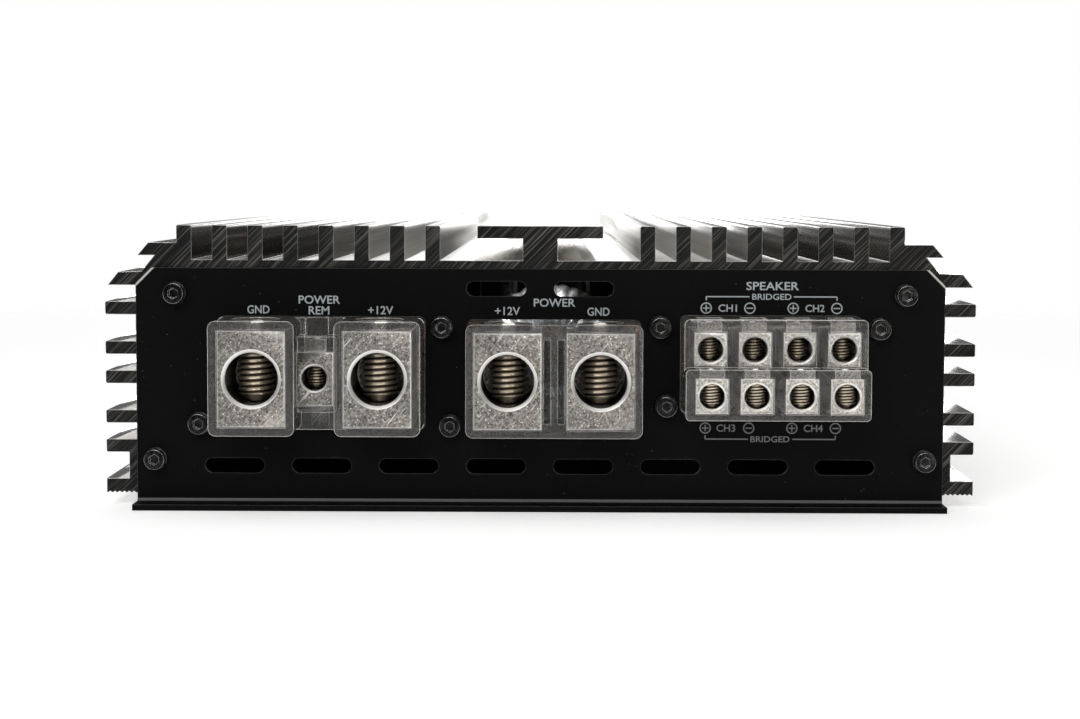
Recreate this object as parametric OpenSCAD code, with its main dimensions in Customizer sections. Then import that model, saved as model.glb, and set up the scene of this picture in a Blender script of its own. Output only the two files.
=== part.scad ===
// Four-channel car amplifier: finned aluminium case, two steel end panels, clamp terminals at the
// power end, inputs and controls at the other end, and the circuit boards inside.
// The power end faces -Y. The origin is at the bottom centre of the whole object.

/* [Heatsink] */
// Width over the side fins
overall_w = 236.2; // [232:0.2:240]
// Length of the aluminium extrusion
sink_len = 457; // [440:1:520]
// Height of the tops of the top fins
fin_top_z = 76.6; // [74:0.2:80]
// Thickness of each top fin
top_fin_t = 4.15; // [3:0.05:5]
// Distance from one top fin to the next
top_fin_pitch = 9.63; // [9.4:0.01:9.8]
// Number of top fins on each side of the centre rail
top_fin_count = 8; // [8:1:8]
// Thickness of each side fin
side_fin_t = 3.6; // [3:0.1:4]
// Width of the flat top of the centre T rail
rail_w = 34.1; // [30:0.1:40]
// Width of the stem of the centre T rail
rail_stem_w = 9.5; // [7:0.5:12]

/* [End panels] */
// Width of each end panel
panel_w = 218.8; // [216:0.2:219.4]
// Height of each end panel
panel_h = 65; // [64:0.2:65.6]
// Thickness of the sheet steel
sheet_t = 1.6; // [1.2:0.1:2]
// How far the foot stands out from the panel
foot_reach = 7.8; // [6:0.2:9]
// Length of each cooling slot
vent_len = 16.2; // [12:0.2:18]
// Height of each cooling slot
vent_h = 4.1; // [3:0.1:5]
// Distance between cooling slots
vent_pitch = 23.68; // [21:0.02:24]

/* [Power terminals] */
// Width of a power terminal block
lug_w = 17.8; // [16:0.1:18]
// Height of a power terminal block
lug_h = 25.3; // [24:0.1:26]
// Radius of the cable bore
lug_bore_r = 7; // [6:0.1:7]
// Height of the power terminals' cable bores
lug_z = 36.5; // [36:0.1:37]
// Radius of the power clamp screws
lug_screw_r = 5; // [4:0.5:5]

/* [Speaker terminals] */
// Distance between speaker terminals
speaker_pitch = 11.76; // [11:0.02:12]
// Width of a speaker terminal block
speaker_w = 8.4; // [8:0.1:8.6]
// Radius of the speaker cable bore
speaker_bore_r = 3.3; // [2.9:0.05:3.3]

/* [Controls] */
// Diameter of each control knob
knob_d = 9.2; // [8:0.2:10]
// Distance between control knobs
knob_pitch = 17; // [15:0.5:18]
// Diameter of an RCA barrel
rca_d = 8.3; // [8:0.1:8.6]

/* [Hidden] */
$fn = 48;

// Overall lengths. The object's box is centred on Y = 0.
face_to_face = sink_len + 2 * sheet_t;
speaker_low_face = 21.0;      // front of the lower speaker blocks, ahead of the panel
speaker_low_cover = 21.6;     // front of the lower speaker cover, the foremost point
rca_reach = 10;               // rear of the RCA barrels, the rearmost point
y_front = -(face_to_face + speaker_low_cover + rca_reach) / 2 + speaker_low_cover;
y_rear = y_front + face_to_face;
y_mid = (y_front + y_rear) / 2;
sink_y0 = y_front + sheet_t;
sink_y1 = y_rear - sheet_t;

// Heatsink section
tip_x = overall_w / 2;        // tips of the side fins
wall_in = 105;                // inner face of the side wall
wall_out = 109.8;             // outer face of the side wall
low_wall_out = 111.9;         // outer face of the thicker wall above the foot
wall_bottom = 3.5;
deck_z = 67.2;                // floor of the top channels
ceiling_z = 62;
rail_t = 3.5;
shoulder_z = 71.8;            // top of the shoulder outside the last top fin
round_r = 0.45;               // rounded corners of the fins
first_fin_x = 27.05;          // inner face of the first top fin
side_fin_top = 63.8;          // top of the highest plain side fin
fin_pair_pitch = 18.78;       // the side fins come in pairs
fin_step = 8;                 // from one fin of a pair to the other
ledge_z = 17;                 // top of the board ledges
upper_boss = [98.7, 58.2];    // end panel screws, upper pair
lower_boss = [104.2, 13.2];   // end panel screws, lower pair
boss_r = 3.6;
m3_r = 1.5;
m3_hole_r = 1.55;
screw_depth = 10;
tooth_pitch = 1.3;            // grip teeth under the foot
tooth_depth = 0.4;

// Mounting holes in the foot, and the notches above them
mount_x = 114.2;
mount_y = 170;
mount_r = 2.5;
notch_w = 11;

// Bottom cover
cover_y = [-190, -65, 65, 190];
cover_x = 107.6;
cover_t = 2;

// Terminal positions on the power end panel
tower_x = [-75.7, -42.6];
pair_x = [-8.4, 16.1];
pair_z = 36.1;                // their bores, a little lower than the others
tower_face = 19.2;            // front of the power covers
lug_face = 18.6;              // front of the power blocks
lug_leg = [-5.3, -8];        // front and back of the leg that goes down to the board
lug_screw_d = 8.6;            // clamp screw axis, ahead of the panel
cover_gap = 0.1;
remote_x = -60.05;
remote_z = 36;
remote_face = 9.9;
remote_screw_d = 3.7;
m5_r = 2.5;
neck_r = 2.9;                 // half the depth of the square necks
housing_a_x = [-87, -31.3];
housing_a_z = [21.5, 51.8];
housing_b_x = [-19.4, 27.1];
housing_b_z = [21.2, 51.1];
speaker_x = [38.2, 86.6];
speaker_z = [26.3, 52.4];
speaker_step_z = 39.7;        // ledge between the two tiers
speaker_mid_x = 62.75;
upper_z = 44.4;
lower_z = 32.6;
upper_face = 14.4;
upper_screw_d = 8.1;
upper_leg = [-9.7, -12];      // behind the legs of the lower row
lower_screw_d = 18;
ear_r = 3.4;
ear_t = 3.4;
ears_a = [[-92.2, 22.9], [-26.6, 49.2]];
ears_b = [[-24.3, 22.4], [32.5, 49.3]];
ears_speaker = [[34.3, 28], [91.7, 49.1]];
all_ears = concat(ears_a, ears_b, ears_speaker);
set_screw_gap = 0.05;

// Boards and the parts on them
board_z = ledge_z;
board_t = 1.6;
board_top = board_z + board_t;
board_half = 104.3;
input_board_e = -8.3;         // its rear-facing side, measured outward from the input panel
board_screw_y = [-182, -78, 78, 182];
clamp_screw_y = [-104, -52, 0, 52, 104];
fet_pitch = 26;
fet_count = 12;

// Controls on the input end panel
row_z = [45, 28];
knob_x0 = 16;
switch_x = -38;
mode_x = -56;
led_z = [47, 40];
led_x = -78;
rca_in_x = [80, 64];
rca_out_x = 44;
rca_collar = 0.8;             // how far the jack's collar stands out of the panel
rca_neck_r = 3.75;
rca_bore_r = 3.4;

// ---------- helpers ----------

// Y of a point that stands d ahead of the power panel
function ahead(d) = y_front - d;
// Y of a point that stands e behind the input panel
function behind(e) = y_rear + e;

// Extrudes a 2-D shape, drawn in X and Z, from y0 to y1
module along_y(y0, y1) {
    translate([0, y1, 0]) rotate([90, 0, 0]) linear_extrude(y1 - y0) children();
}

// A rod along Y
module rod_y(x, z, y0, y1, r) {
    translate([x, y1, z]) rotate([90, 0, 0]) cylinder(h = y1 - y0, r = r);
}

// A box from two corners
module block(a, b) {
    translate(a) cube(b - a);
}

// A rectangle with round corners, from two corners
module round_rect(x, z, r) {
    translate([x[0] + r, z[0]]) square([x[1] - x[0] - 2 * r, z[1] - z[0]]);
    translate([x[0], z[0] + r]) square([x[1] - x[0], z[1] - z[0] - 2 * r]);
    for (cx = [x[0] + r, x[1] - r], cz = [z[0] + r, z[1] - r]) translate([cx, cz]) circle(r = r);
}

// A slot with round ends
module slot(x, z, len, h) {
    round_rect([x - len / 2, x + len / 2], [z - h / 2, z + h / 2], h / 2 - 0.001);
}

module both_sides() {
    children();
    mirror([1, 0, 0]) children();
}

// ---------- heatsink ----------

// Top of a side fin. The fins come in pairs, and the last one is the foot.
function side_fin_z(pair, step) = side_fin_top - pair * fin_pair_pitch - step * fin_step;

function top_fin_x(i) = first_fin_x + i * top_fin_pitch;

// The right half of the section, from the centre of the rail round to the centre of the ceiling
rail_points = [
    [rail_w / 2, fin_top_z], [rail_w / 2, fin_top_z - rail_t],
    [rail_stem_w / 2, fin_top_z - rail_t], [rail_stem_w / 2, deck_z]
];
top_fin_shape = [
    [0, deck_z], [0, fin_top_z - round_r], [0.3 * round_r, fin_top_z - 0.3 * round_r],
    [round_r, fin_top_z], [top_fin_t - round_r, fin_top_z],
    [top_fin_t - 0.3 * round_r, fin_top_z - 0.3 * round_r], [top_fin_t, fin_top_z - round_r],
    [top_fin_t, deck_z]
];
top_fin_points = [
    for (i = [0 : top_fin_count - 1], p = top_fin_shape)
        [top_fin_x(i) + p[0], i == top_fin_count - 1 && p == [top_fin_t, deck_z] ? shoulder_z : p[1]]
];
shoulder_points = [
    [106.2, shoulder_z], [109.2, 68.3], [104.6, 68.3], [108.1, 64],
    [114.4, side_fin_top], [117.3, side_fin_top - side_fin_t], [wall_out, side_fin_top - side_fin_t]
];
side_fin_points = [
    for (i = [0 : 2], j = [0 : 1]) if (i + j > 0) for (p = side_fin(side_fin_z(i, j), i + j == 3)) p
];
tooth_x = [for (x = [tip_x - 0.9 : -tooth_pitch : wall_in + 5.6]) x];
foot_points = concat(
    [[low_wall_out, side_fin_z(3, 0)], [tip_x, side_fin_z(3, 0)], [tip_x, wall_bottom]],
    [for (x = tooth_x, p = [[0.5, 0], [0, tooth_depth], [-0.5, 0]]) [x + p[0], wall_bottom + p[1]]]
);
inner_points = [
    [wall_in, wall_bottom], [wall_in, ledge_z - 2.4], [98.5, ledge_z - 2.4], [98.5, ledge_z],
    [wall_in, ledge_z], [wall_in, ceiling_z]
];
half_section = concat(rail_points, top_fin_points, shoulder_points, side_fin_points, foot_points,
                      inner_points);

// One side fin below z, ending on the thicker wall if it is the lowest
function side_fin(z, lowest) = [
    [wall_out, z], [tip_x - round_r, z], [tip_x - 0.3 * round_r, z - 0.3 * round_r], [tip_x, z - round_r],
    [tip_x, z - side_fin_t + round_r], [tip_x - 0.3 * round_r, z - side_fin_t + 0.3 * round_r],
    [tip_x - round_r, z - side_fin_t], [lowest ? low_wall_out : wall_out, z - side_fin_t]
];

module sink_profile() {
    last = len(half_section) - 1;
    along_y(sink_y0, sink_y1)
        polygon(concat(half_section, [for (i = [last : -1 : 0]) [-half_section[i][0], half_section[i][1]]]));
    both_sides() {
        rod_y(lower_boss[0], lower_boss[1], sink_y0, sink_y1, boss_r);
        rod_y(upper_boss[0], upper_boss[1], sink_y0, sink_y1, boss_r);
        block([upper_boss[0] - boss_r, sink_y0, upper_boss[1]],
              [upper_boss[0] + boss_r, sink_y1, ceiling_z + 1]);
    }
}

module heatsink() {
    color("silver") difference() {
        sink_profile();
        both_sides() {
            for (b = [upper_boss, lower_boss]) {
                rod_y(b[0], b[1], sink_y0 - 1, sink_y0 + screw_depth, m3_hole_r);
                rod_y(b[0], b[1], sink_y1 - screw_depth, sink_y1 + 1, m3_hole_r);
            }
            for (y = cover_y)
                translate([cover_x, y_mid + y, wall_bottom - 1]) cylinder(h = 7, r = m3_hole_r);
            for (y = board_screw_y)
                translate([101.6, y_mid + y, ledge_z - 5]) cylinder(h = 6, r = m3_hole_r);
            for (y = clamp_screw_y)
                translate([wall_in - 1, y_mid + y, 36]) rotate([0, 90, 0]) cylinder(h = 4, r = m3_hole_r);
            for (y = [-mount_y, mount_y]) {
                translate([mount_x, y_mid + y, wall_bottom - 1]) cylinder(h = 6, r = mount_r);
                block([wall_out, y_mid + y - notch_w / 2, side_fin_z(3, 0)],
                      [tip_x + 1, y_mid + y + notch_w / 2, 72.5]);
            }
        }
    }
}

module bottom_cover() {
    color("dimgray") difference() {
        block([-wall_out, sink_y0 + 0.2, wall_bottom - cover_t], [wall_out, sink_y1 - 0.2, wall_bottom]);
        both_sides() for (y = cover_y) translate([cover_x, y_mid + y, 0]) {
            cylinder(h = 5, r = m3_hole_r);
            translate([0, 0, wall_bottom - cover_t - 0.01]) cylinder(h = 1.4, r1 = 3, r2 = m3_hole_r);
        }
        for (i = [-3 : 3], y = [-60 : 12 : 60])
            translate([i * vent_pitch, y_mid + y, 0]) linear_extrude(5) slot(0, 0, vent_len, vent_h);
    }
}

// ---------- end panels ----------

// Outline of a panel's upright sheet, with its two cut corners
module panel_2d() {
    w = panel_w / 2;
    cut = 4.3;
    polygon([[-w, sheet_t + 1], [w, sheet_t + 1], [w, panel_h - cut], [w - cut, panel_h],
             [-w + cut, panel_h], [-w, panel_h - cut]]);
}

// Side profile of the foot, drawn in Y and Z for a panel whose outer face is at Y = 0 facing -Y
module foot_2d() {
    r = 1;
    translate([-foot_reach, 0]) square([foot_reach - r + 0.001, sheet_t]);
    translate([-r, sheet_t + r]) intersection() {
        difference() {
            circle(r = r + sheet_t);
            circle(r = r);
        }
        translate([0, -r - sheet_t]) square(r + sheet_t);
    }
}

// Slots and corner holes that both panels share
module shared_cuts_2d() {
    for (i = [0 : 7]) slot((i - 3.5) * vent_pitch, 11.3, vent_len, vent_h);
    for (s = [-1, 1], b = [upper_boss, lower_boss]) translate([s * b[0], b[1]]) circle(r = m3_hole_r);
}

module plain_panel() {
    translate([-panel_w / 2, 0, 0]) rotate([90, 0, 90]) linear_extrude(panel_w) foot_2d();
    difference() {
        along_y(0, sheet_t) panel_2d();
        along_y(-1, sheet_t + 1) shared_cuts_2d();
    }
}

module power_end_panel() {
    gap = 0.2;
    color("black") difference() {
        translate([0, y_front, 0]) plain_panel();
        along_y(y_front - 1, y_front + sheet_t + 1) {
            for (x = [-0.5, 0.5]) slot(x * vent_pitch, 59.6, vent_len, vent_h);
            for (e = all_ears) translate(e) circle(r = m3_hole_r);
            round_rect(housing_a_x + [-gap, gap], housing_a_z + [-gap, gap], 1.5);
            round_rect(housing_b_x + [-gap, gap], housing_b_z + [-gap, gap], 1.5);
            round_rect(speaker_x + [-gap, gap], speaker_z + [-gap, gap], 1.5);
        }
    }
}

module input_end_panel() {
    color("black") difference() {
        translate([0, y_rear, 0]) mirror([0, 1, 0]) plain_panel();
        along_y(y_rear - sheet_t - 1, y_rear + 1) {
            for (p = rca_places()) translate(p) circle(r = 5.6);
            for (i = [0 : 2], z = row_z) translate([knob_x0 - i * knob_pitch, z]) circle(r = 3.4);
            for (z = row_z) slot(switch_x, z, 10.4, 3);
            slot(mode_x, row_z[0], 10.4, 3);
            for (z = led_z) translate([led_x, z]) circle(r = 1.6);
            round_rect([mode_x - 7, mode_x + 7], [row_z[1] - 6, row_z[1] + 6], 0.5);
        }
    }
}

// ---------- fasteners ----------

// An M3 socket screw along -Y, its head's underside at Y = 0
module socket_screw(len) {
    difference() {
        rod_y(0, 0, -3, 0, 2.75);
        translate([0, -1.5, 0]) rotate([90, 30, 0]) cylinder(h = 2, r = 1.45, $fn = 6);
    }
    rod_y(0, 0, -0.01, len, m3_r);
}

washer_t = 0.8;

module panel_screws() {
    color("black") for (s = [-1, 1], b = [upper_boss, lower_boss]) {
        translate([s * b[0], ahead(washer_t), b[1]]) socket_screw(8);
        translate([s * b[0], behind(washer_t), b[1]]) mirror([0, 1, 0]) socket_screw(8);
    }
}

module terminal_screws() {
    color("black") for (e = all_ears) translate([e[0], ahead(washer_t), e[1]]) socket_screw(5.6);
}

module lock_washer() {
    difference() {
        rod_y(0, 0, 0, washer_t, 3.1);
        rod_y(0, 0, -1, washer_t + 1, m3_hole_r);
        rotate([0, 35, 0]) block([1, -1, -0.2], [4, 2, 0.2]);
    }
}

module lock_washers() {
    color("dimgray") {
        for (s = [-1, 1], b = [upper_boss, lower_boss]) {
            translate([s * b[0], ahead(washer_t), b[1]]) lock_washer();
            translate([s * b[0], behind(0), b[1]]) lock_washer();
        }
        for (e = all_ears) translate([e[0], ahead(washer_t), e[1]]) lock_washer();
    }
}

module bottom_cover_screws() {
    color("black") both_sides() for (y = cover_y)
        translate([cover_x, y_mid + y, wall_bottom - cover_t]) difference() {
            union() {
                cylinder(h = 1.4, r1 = 2.95, r2 = m3_r);
                cylinder(h = 7, r = m3_r);
            }
            translate([0, 0, -0.01]) cylinder(h = 1, r = 1.15, $fn = 6);
        }
}

// Screws that hold the main board to its ledges and the clamp bars to the walls
module inner_screws() {
    color("gray") both_sides() {
        for (y = board_screw_y) translate([101.6, y_mid + y, board_top]) {
            difference() {
                cylinder(h = 2.2, r = 2.8);
                translate([0, 0, 1]) cylinder(h = 2, r = 1.25, $fn = 6);
            }
            translate([0, 0, -6]) cylinder(h = 6.01, r = m3_r);
        }
        for (y = clamp_screw_y) translate([92.7, y_mid + y, 36]) rotate([0, 90, 0]) {
            difference() {
                translate([0, 0, -3]) cylinder(h = 3, r = 2.75);
                translate([0, 0, -3.5]) cylinder(h = 2, r = 1.45, $fn = 6);
            }
            translate([0, 0, -0.01]) cylinder(h = 14.5, r = m3_r);
        }
    }
}

// ---------- clear terminal housings ----------

// A clear block from depth d0 to d1, with round corners
module clear_block(x, z, r, d0, d1) {
    along_y(ahead(d1), ahead(d0)) round_rect(x, z, r);
}

// The flange behind the panel, with its two screw ears
module ear_flange(x, z, ears) {
    difference() {
        along_y(ahead(-sheet_t), ahead(-sheet_t - ear_t)) {
            round_rect(x + [-1.5, 1.5], z + [-1.5, 1.5], 1.5);
            for (i = [0, 1]) {
                translate(ears[i]) circle(r = ear_r);
                inward = i == 0 ? x[0] : x[1];
                translate([min(ears[i][0], inward), ears[i][1] - ear_r])
                    square([abs(ears[i][0] - inward), 2 * ear_r]);
            }
        }
        for (e = ears) rod_y(e[0], e[1], ahead(0), ahead(-8), m3_hole_r);
    }
}

// Room for one power block, its boss and its clamp screw's key
module lug_room(x, z) {
    g = cover_gap;
    block([x - lug_w / 2 - g, ahead(tower_face + 1), z - lug_h / 2 - g],
          [x + lug_w / 2 + g, ahead(-9), z + lug_h / 2 + g]);
    translate([x, ahead(lug_screw_d), z + lug_h / 2 - 1]) cylinder(h = 6, r = 6.3);
}

// Way for a square neck and the key of its clamp screw, from z0 up
module neck_way(x, d, w, z0) {
    g = cover_gap;
    block([x - w / 2 - g, ahead(d + neck_r + g), z0], [x + w / 2 + g, ahead(d - neck_r - g), z0 + 12]);
}

module power_housing_a() {
    g = cover_gap;
    color([0.85, 0.9, 0.92, 0.35]) difference() {
        union() {
            for (x = tower_x)
                clear_block([x - 11.3, x + 11.3], housing_a_z, 2, -sheet_t - 0.01, tower_face);
            clear_block(housing_a_x, housing_a_z, 1.5, -sheet_t - 0.01, 3);
            clear_block([remote_x - 6, remote_x + 6], [27, 47.2], 0.8, 2, remote_face + 0.7);
            ear_flange(housing_a_x, housing_a_z, ears_a);
        }
        for (x = tower_x) lug_room(x, lug_z);
        block([remote_x - 4.95 - g, ahead(remote_face + 2), remote_low - g],
              [remote_x + 4.95 + g, ahead(-9), remote_high + g]);
        neck_way(remote_x, remote_screw_d, 5.8, remote_high - 1);
    }
}

module power_housing_b() {
    mid = (pair_x[0] + pair_x[1]) / 2;
    color([0.85, 0.9, 0.92, 0.35]) difference() {
        union() {
            clear_block(housing_b_x, housing_b_z, 2, -sheet_t - 0.01, tower_face);
            ear_flange(housing_b_x, housing_b_z, ears_b);
        }
        for (x = pair_x) lug_room(x, pair_z);
        // two light wells with a rib between them
        for (s = [-1, 1])
            block([mid + s * 1.85 - 0.9, ahead(tower_face + 1), pair_z - 11],
                  [mid + s * 1.85 + 0.9, ahead(6), pair_z + 11]);
    }
}

speaker_neck_w = 6.4;

// Room for one speaker block, its neck and its clamp screw's key
module speaker_room(x, z, face, screw_d) {
    g = cover_gap;
    block([x - speaker_w / 2 - g, ahead(face + 2), z - 4.6], [x + speaker_w / 2 + g, ahead(-9), z + 4.7]);
    neck_way(x, screw_d, speaker_neck_w, z + 3);
}

function speaker_place(i) = speaker_mid_x + (i - 1.5) * speaker_pitch;

module speaker_housing() {
    color([0.85, 0.9, 0.92, 0.35]) difference() {
        union() {
            clear_block(speaker_x, speaker_z, 1.5, -sheet_t - 0.01, upper_face + 0.5);
            clear_block(speaker_x, [speaker_z[0], speaker_step_z], 1.2, 2, speaker_low_cover);
            ear_flange(speaker_x, speaker_z, ears_speaker);
        }
        for (i = [0 : 3]) {
            speaker_room(speaker_place(i), upper_z, upper_face, upper_screw_d);
            speaker_room(speaker_place(i), lower_z, speaker_low_face, lower_screw_d);
        }
    }
}

// ---------- terminal blocks and clamp screws ----------

// A plated block with a cable bore from its front, a clamp screw hole from its top and a leg.
// Its children are the neck around the clamp screw.
module terminal_block(x, z, w, low, high, r, face, leg, screw_d, screw_r, depth, lead_in) {
    difference() {
        union() {
            block([x - w / 2, ahead(face), low], [x + w / 2, ahead(leg[1]), high]);
            block([x - w / 4, ahead(leg[0]), board_top], [x + w / 4, ahead(leg[1]), low + 1]);
            children();
        }
        rod_y(x, z, ahead(face + 1), ahead(face - depth), r);
        translate([x, ahead(face) + 0.8 * lead_in, z])
            rotate([90, 0, 0]) cylinder(h = 0.8 * lead_in + 0.01, r1 = r, r2 = r + lead_in);
        translate([x, ahead(screw_d), z]) cylinder(h = 30, r = screw_r + set_screw_gap);
    }
}

// A square neck on top of a small terminal block
module square_neck(x, d, w, z0, z1) {
    block([x - w / 2, ahead(d + neck_r), z0 - 0.5], [x + w / 2, ahead(d - neck_r), z1]);
}

module power_terminal(x, z) {
    top = z + lug_h / 2;
    color("lightgray")
        terminal_block(x, z, lug_w, z - lug_h / 2, top, lug_bore_r, lug_face, lug_leg,
                       lug_screw_d, lug_screw_r, 20, 0.9)
            translate([x, ahead(lug_screw_d), top - 0.01]) cylinder(h = 2.01, r = 6.1);
}

module ground_terminal_a() { power_terminal(tower_x[0], lug_z); }
module battery_terminal_a() { power_terminal(tower_x[1], lug_z); }
module battery_terminal_b() { power_terminal(pair_x[0], pair_z); }
module ground_terminal_b() { power_terminal(pair_x[1], pair_z); }

remote_low = 28.7;
remote_high = 42.9;
remote_neck_z = 46.3;

module remote_terminal() {
    color("lightgray")
        terminal_block(remote_x, remote_z, 9.9, remote_low, remote_high, 3.35, remote_face, lug_leg,
                       remote_screw_d, m5_r, 13, 0.5)
            square_neck(remote_x, remote_screw_d, 5.8, remote_high, remote_neck_z);
}

module speaker_terminals_upper() {
    color("lightgray") for (i = [0 : 3])
        terminal_block(speaker_place(i), upper_z, speaker_w, upper_z - 4.4, upper_z + 4.5, speaker_bore_r,
                       upper_face, upper_leg, upper_screw_d, m5_r, 16, 0.5)
            square_neck(speaker_place(i), upper_screw_d, speaker_neck_w, upper_z + 4.5, upper_z + 7);
}

module speaker_terminals_lower() {
    color("lightgray") for (i = [0 : 3])
        terminal_block(speaker_place(i), lower_z, speaker_w, lower_z - 4.5, lower_z + 4.6, speaker_bore_r,
                       speaker_low_face, lug_leg, lower_screw_d, m5_r, 20, 0.5)
            square_neck(speaker_place(i), lower_screw_d, speaker_neck_w, lower_z + 4.6, lower_z + 6.9);
}

// A set screw on its tapered tip, with a hexagon socket in its top
module set_screw(x, d, tip_z, top_z, r, tip_r, taper, key_r) {
    color("tan") translate([x, ahead(d), tip_z]) difference() {
        union() {
            cylinder(h = taper + 0.01, r1 = tip_r, r2 = r);
            translate([0, 0, taper]) cylinder(h = top_z - tip_z - taper, r = r);
        }
        translate([0, 0, top_z - tip_z - r * 0.8]) cylinder(h = r, r = key_r, $fn = 6);
    }
}

module lug_set_screw(x, z) {
    set_screw(x, lug_screw_d, z - lug_bore_r + 0.55, z + lug_h / 2 + 1.8, lug_screw_r, 1.8, 2, 2.9);
}

module small_set_screw(x, d, z, top) {
    set_screw(x, d, z - 2.9, top, m5_r, 0.9, 1.1, 1.44);
}

module ground_set_screw_a() { lug_set_screw(tower_x[0], lug_z); }
module battery_set_screw_a() { lug_set_screw(tower_x[1], lug_z); }
module battery_set_screw_b() { lug_set_screw(pair_x[0], pair_z); }
module ground_set_screw_b() { lug_set_screw(pair_x[1], pair_z); }
module remote_set_screw() { small_set_screw(remote_x, remote_screw_d, remote_z, remote_neck_z - 0.3); }

// Screws 1 to 4 are the upper row and 5 to 8 the lower row, counted along +X
module speaker_set_screw(n) {
    x = speaker_place(n % 4);
    if (n < 4) small_set_screw(x, upper_screw_d, upper_z, upper_z + 6.8);
    else small_set_screw(x, lower_screw_d, lower_z, lower_z + 6.6);
}

// ---------- boards and the parts on them ----------

module main_board() {
    color("darkgreen") difference() {
        block([-board_half, ahead(-2.2), board_z], [board_half, behind(-10.5), board_top]);
        both_sides() for (y = board_screw_y)
            translate([101.6, y_mid + y, board_z - 1]) cylinder(h = 4, r = 1.7);
    }
}

module input_board() {
    color("darkgreen") along_y(behind(input_board_e - board_t), behind(input_board_e))
        round_rect([-92, 92], [board_top + 0.2, 55], 1);
}

module board_link() {
    color("black") block([-34, behind(-15.5), board_top],
                         [34, behind(input_board_e - board_t), board_top + 7]);
}

// A ring-shaped winding with a rectangular section and cut corners
module ring(r_out, r_in, h) {
    c = 2.5;
    rotate_extrude() polygon([[r_in + c, 0], [r_out - c, 0], [r_out, c], [r_out, h - c],
                              [r_out - c, h], [r_in + c, h], [r_in, h - c], [r_in, c]]);
}

module supply_choke() {
    color("silver") translate([3, ahead(-38), board_top + 20.6]) rotate([90, 0, 0]) ring(20.6, 9, 16);
}

transformer_places = [[-42, 82], [42, 82], [0, 142]];

module power_transformers() {
    color("goldenrod") for (p = transformer_places)
        translate([p[0], y_front + p[1], board_top]) ring(27, 10, 30);
}

module can(r, h) {
    difference() {
        cylinder(h = h, r = r);
        translate([0, 0, h - 0.6]) cylinder(h = 1, r = r - 1.4);
    }
}

module reservoir_capacitors() {
    color("black") for (i = [0 : 5], j = [0, 1])
        translate([(i - 2.5) * 26, y_front + 198 + j * 27, board_top]) can(11, 36);
}

module filter_capacitors() {
    color("midnightblue") for (i = [0 : 7])
        translate([(i - 3.5) * 20, y_front + 325, board_top]) can(6.5, 21);
}

module output_inductors() {
    color("chocolate") for (x = [-66, -22, 22, 66])
        translate([x, y_front + 277, board_top]) ring(17, 7, 18);
}

function fet_y(i) = y_mid + (i - (fet_count - 1) / 2) * fet_pitch;

module power_transistors() {
    color("black") both_sides() for (i = [0 : fet_count - 1]) {
        block([99.7, fet_y(i) - 8, 22.5], [104.7, fet_y(i) + 8, 43]);
        for (leg = [-5.4, 0, 5.4])
            block([101.6, fet_y(i) + leg - 0.6, board_top], [102.3, fet_y(i) + leg + 0.6, 22.6]);
    }
}

module insulator_strips() {
    color("lightgray") both_sides() difference() {
        block([104.7, y_mid - 158, 20], [wall_in, y_mid + 158, 44]);
        for (y = clamp_screw_y)
            translate([104, y_mid + y, 36]) rotate([0, 90, 0]) cylinder(h = 2, r = 1.8);
    }
}

module clamp_bars() {
    color("silver") both_sides() difference() {
        block([92.7, y_mid - 155, 32], [99.7, y_mid + 155, 40]);
        for (y = clamp_screw_y)
            translate([90, y_mid + y, 36]) rotate([0, 90, 0]) cylinder(h = 12, r = 1.6);
    }
}

module driver_cards() {
    color("darkgreen") for (x = [-46, 46])
        block([x - 0.8, y_front + 350, board_top], [x + 0.8, y_front + 410, board_top + 26]);
}

// ---------- input end ----------

function rca_places() = [for (x = rca_in_x, z = row_z) [x, z], for (z = row_z) [rca_out_x, z]];

module rca_bodies() {
    color("black") difference() {
        union() {
            block([rca_in_x[1] - 8, behind(input_board_e), 19.5],
                  [rca_in_x[0] + 8, behind(-sheet_t), 53.5]);
            block([rca_out_x - 8, behind(input_board_e), 19.5],
                  [rca_out_x + 8, behind(-sheet_t), 53.5]);
            for (p = rca_places()) rod_y(p[0], p[1], behind(-3), behind(rca_collar), 5.4);
        }
        for (p = rca_places()) rod_y(p[0], p[1], behind(-7), behind(2), rca_neck_r);
    }
}

module rca_shells() {
    color("silver") for (p = rca_places()) difference() {
        union() {
            rod_y(p[0], p[1], behind(-7), behind(rca_collar + 1), rca_neck_r);
            rod_y(p[0], p[1], behind(rca_collar), behind(rca_reach), rca_d / 2);
        }
        rod_y(p[0], p[1], behind(-8), behind(rca_reach + 1), rca_bore_r);
    }
}

module rca_inserts() {
    color("white") for (p = rca_places()) difference() {
        rod_y(p[0], p[1], behind(-7), behind(rca_reach - 0.6), rca_bore_r);
        rod_y(p[0], p[1], behind(-4), behind(rca_reach + 1), 1.6);
    }
}

// A knob with its pointer groove and the shaft that turns in its potentiometer
module knob(i, row) {
    color("dimgray") translate([knob_x0 - i * knob_pitch, 0, row_z[row]]) {
        difference() {
            rod_y(0, 0, behind(0.6), behind(7.4), knob_d / 2);
            block([-0.4, behind(6.9), 0], [0.4, behind(8), knob_d]);
        }
        rod_y(0, 0, behind(-6), behind(0.61), 2.95);
    }
}

module gain_knob_a() { knob(0, 0); }
module highpass_knob_a() { knob(1, 0); }
module lowpass_knob_a() { knob(2, 0); }
module gain_knob_b() { knob(0, 1); }
module highpass_knob_b() { knob(1, 1); }
module lowpass_knob_b() { knob(2, 1); }

module potentiometers() {
    color("steelblue") for (i = [0 : 2], z = row_z) difference() {
        block([knob_x0 - i * knob_pitch - 5, behind(input_board_e), z - 6],
              [knob_x0 - i * knob_pitch + 5, behind(-sheet_t), z + 6]);
        rod_y(knob_x0 - i * knob_pitch, z, behind(-6.2), behind(0), 3);
    }
}

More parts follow.
